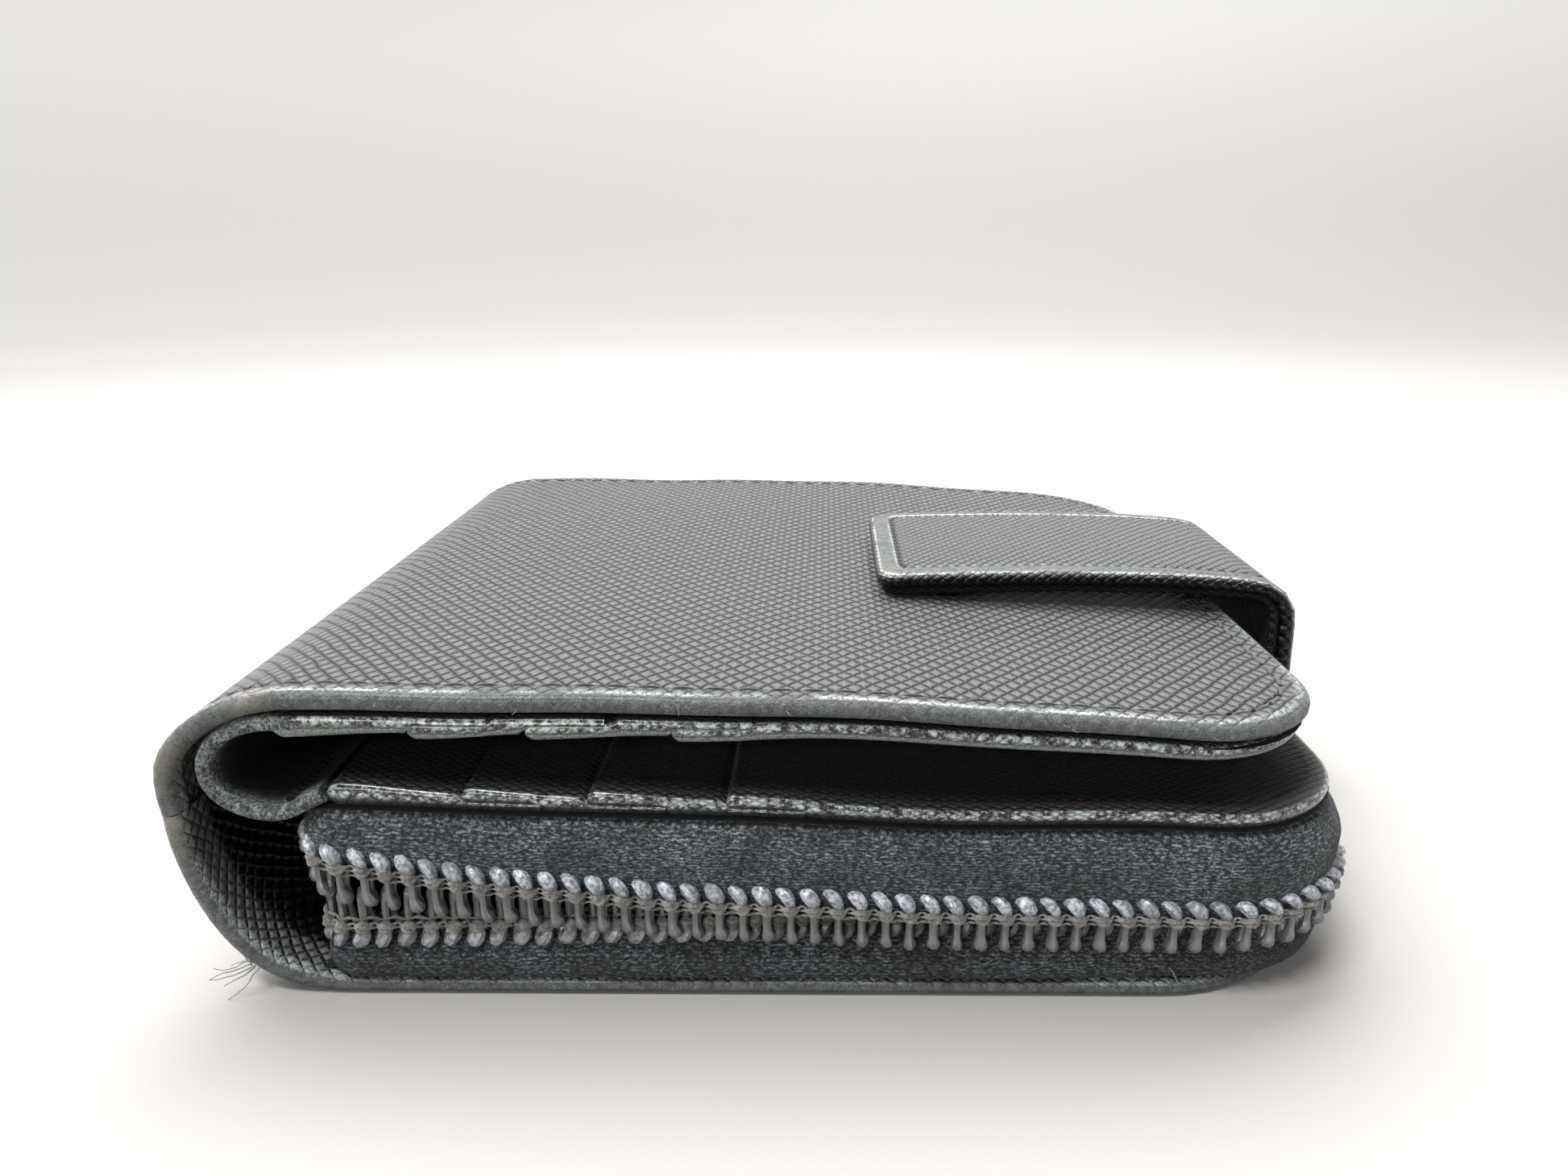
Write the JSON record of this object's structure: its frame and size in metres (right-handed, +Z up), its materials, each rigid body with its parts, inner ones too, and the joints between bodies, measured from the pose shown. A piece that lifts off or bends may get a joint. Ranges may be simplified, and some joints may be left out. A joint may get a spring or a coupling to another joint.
{
  "type": "trifold wallet",
  "caption": "Compact black leather wallet: leaves with card pockets, a zip-around coin compartment, a note slot at the spine and a snap strap.",
  "frame": {"origin": "on the underside of the back cover, on the line midway between the near and far sides", "axes": "+X from the spine to the opening edge, +Y from the near side to the far side, +Z up through the leaves"},
  "size_m": [0.1136, 0.1013, 0.034],
  "materials": {
    "cover_leather": "black crosshatch-embossed leather, worn grey at the edges",
    "pocket_leather": "thin black leather with bright worn edges",
    "spine_leather": "worn black leather, grey-green on its raw edge",
    "lining_fabric": "black woven lining",
    "board": "plain fibre board",
    "zip_tape": "navy-charcoal woven tape",
    "zip_coil": "grey nylon coil",
    "zip_metal": "dull nickel",
    "snap_metal": "plated snap"
  },
  "bodies": {
    "back_leaf": {"back_cover": "cover_leather", "back_board": "board", "coin_lining": "lining_fabric", "lower_zip_tape": "zip_tape", "lower_zip_coil": "zip_coil", "lower_zip_stops": "zip_metal", "lower_spine": "spine_leather", "coin_gusset": "lining_fabric"},
    "middle_leaf": {"middle_lining": "lining_fabric", "middle_board": "board", "middle_panel": "cover_leather", "middle_pocket_1": "pocket_leather", "middle_pocket_2": "pocket_leather", "middle_pocket_3": "pocket_leather", "middle_pocket_4": "pocket_leather", "upper_zip_tape": "zip_tape", "upper_zip_coil": "zip_coil", "upper_zip_stops": "zip_metal", "strap_anchor": "cover_leather", "inner_fold": "spine_leather"},
    "front_leaf": {"front_cover": "cover_leather", "front_board": "board", "note_lining": "lining_fabric", "front_panel": "cover_leather", "front_pocket_1": "pocket_leather", "front_pocket_2": "pocket_leather", "front_pocket_3": "pocket_leather", "front_pocket_4": "pocket_leather", "upper_spine": "spine_leather", "snap_stud": "snap_metal", "stud_rivet": "snap_metal"},
    "strap": {"strap_face": "cover_leather", "strap_core": "board", "strap_lining": "pocket_leather", "snap_socket": "snap_metal", "snap_cap": "snap_metal"},
    "zip_slider": {"zip_slider": "zip_metal"},
    "zip_pull": {"zip_pull": "zip_metal"}
  },
  "joints": [
    {"name": "compartment_open", "type": "hinge", "parent": "back_leaf", "child": "middle_leaf", "pos_m": [-0.047, 0, 0.008], "axis": [0, -1, 0], "range_deg": [0, 25], "deforming": ["lower_spine", "coin_gusset"]},
    {"name": "cover_fold", "type": "hinge", "parent": "middle_leaf", "child": "front_leaf", "pos_m": [-0.052, 0, 0.023], "axis": [0, -1, 0], "range_deg": [0, 180], "deforming": ["upper_spine", "inner_fold"]},
    {"name": "strap_swing", "type": "hinge", "parent": "middle_leaf", "child": "strap", "pos_m": [0.0563, 0, 0.02], "axis": [0, 1, 0], "range_deg": [0, 110], "deforming": ["strap_face", "strap_core", "strap_lining", "snap_socket", "snap_cap"]},
    {"name": "slider_travel", "type": "slide", "parent": "back_leaf", "child": "zip_slider", "axis": [1, 0, 0], "range_m": [0, 0.065], "deforming": ["lower_zip_coil", "upper_zip_coil"]},
    {"name": "pull_swing", "type": "hinge", "parent": "zip_slider", "child": "zip_pull", "pos_m": [-0.032, 0.05075, 0.008], "axis": [0, 0, 1], "range_deg": [0, 170]}
  ]
}
